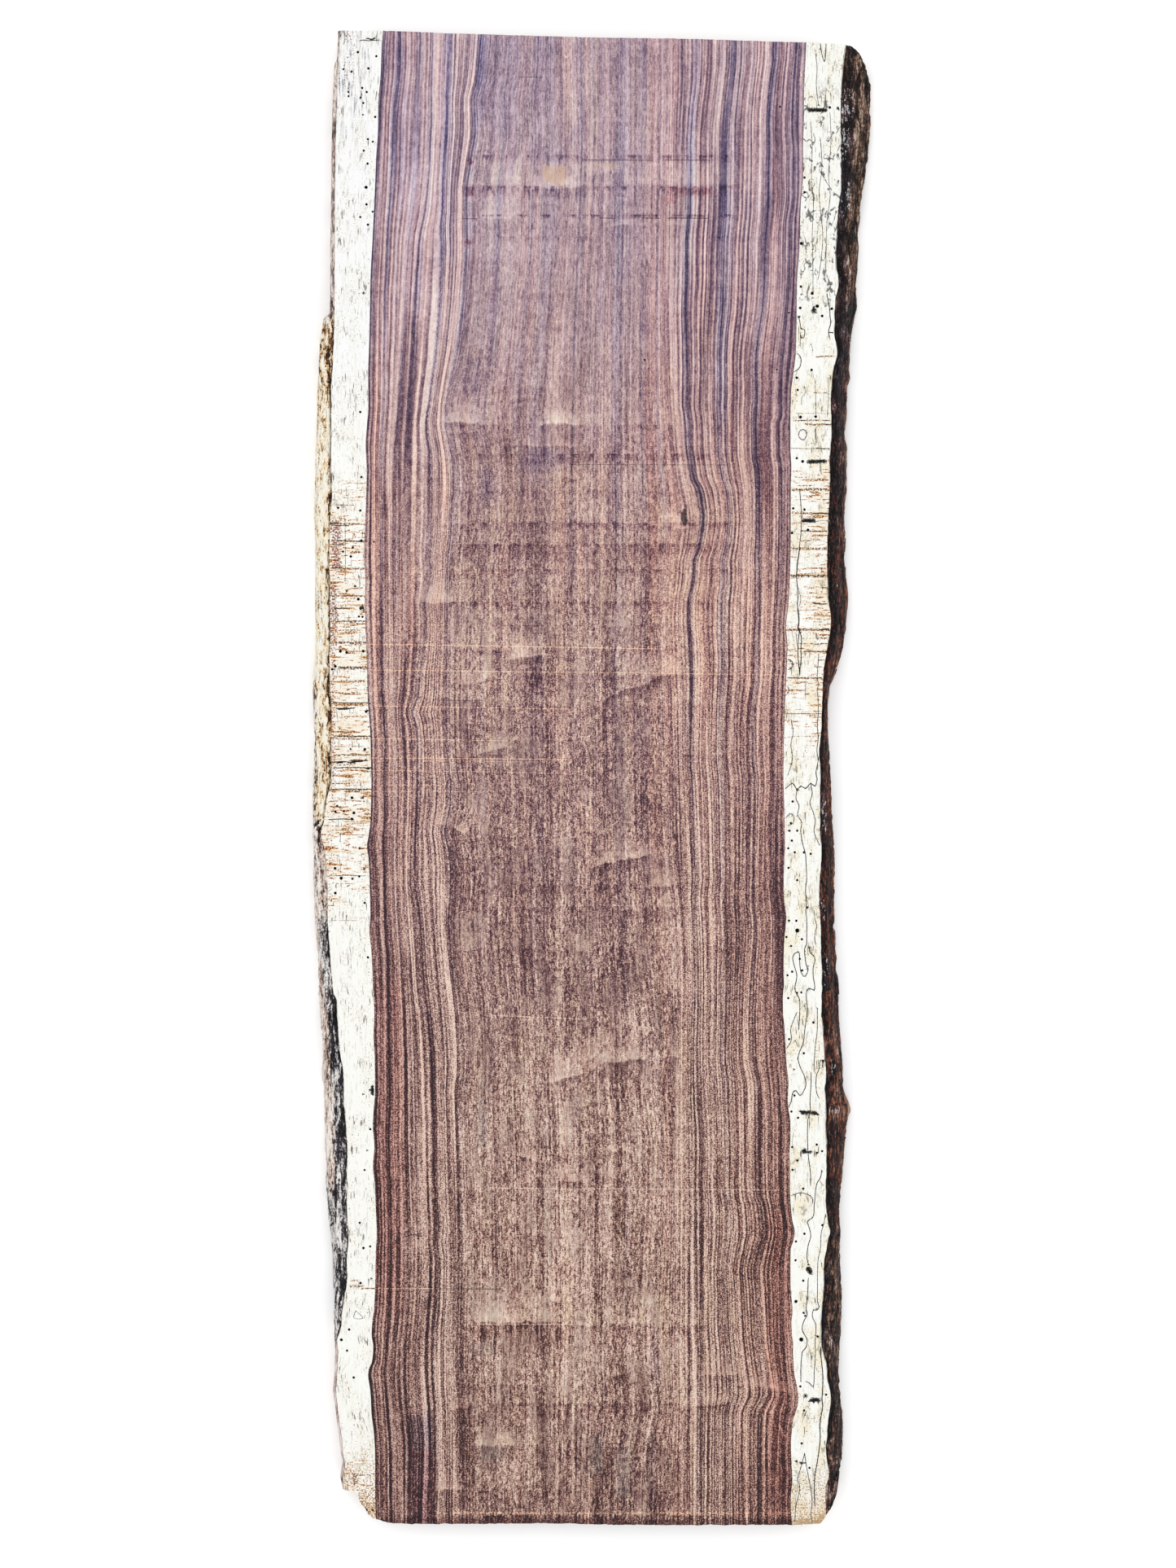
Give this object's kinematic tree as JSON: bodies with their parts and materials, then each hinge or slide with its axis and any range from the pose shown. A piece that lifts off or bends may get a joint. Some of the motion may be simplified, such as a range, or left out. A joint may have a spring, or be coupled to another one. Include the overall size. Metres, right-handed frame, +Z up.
{
  "type": "live edge slab",
  "caption": "Flat plank of figured hardwood with pale sapwood and natural bark left on both long edges, cut square across at both ends.",
  "frame": {"origin": "middle of the slab's bounding box, on its underside", "axes": "+Z up out of the upper sawn face, +Y along the grain towards the end with the rounded bark corner, +X across the grain towards the edge with the thick dark bark"},
  "size_m": [0.6918, 1.835, 0.054],
  "materials": {
    "wood": "sanded, unfinished: mauve-brown heartwood with dark growth lines, cream sapwood, dark rough bark",
    "bark": "rough dry bark, dark brown to black, with rust and grey patches"
  },
  "bodies": {
    "root": {"slab": "wood"}
  },
  "joints": []
}
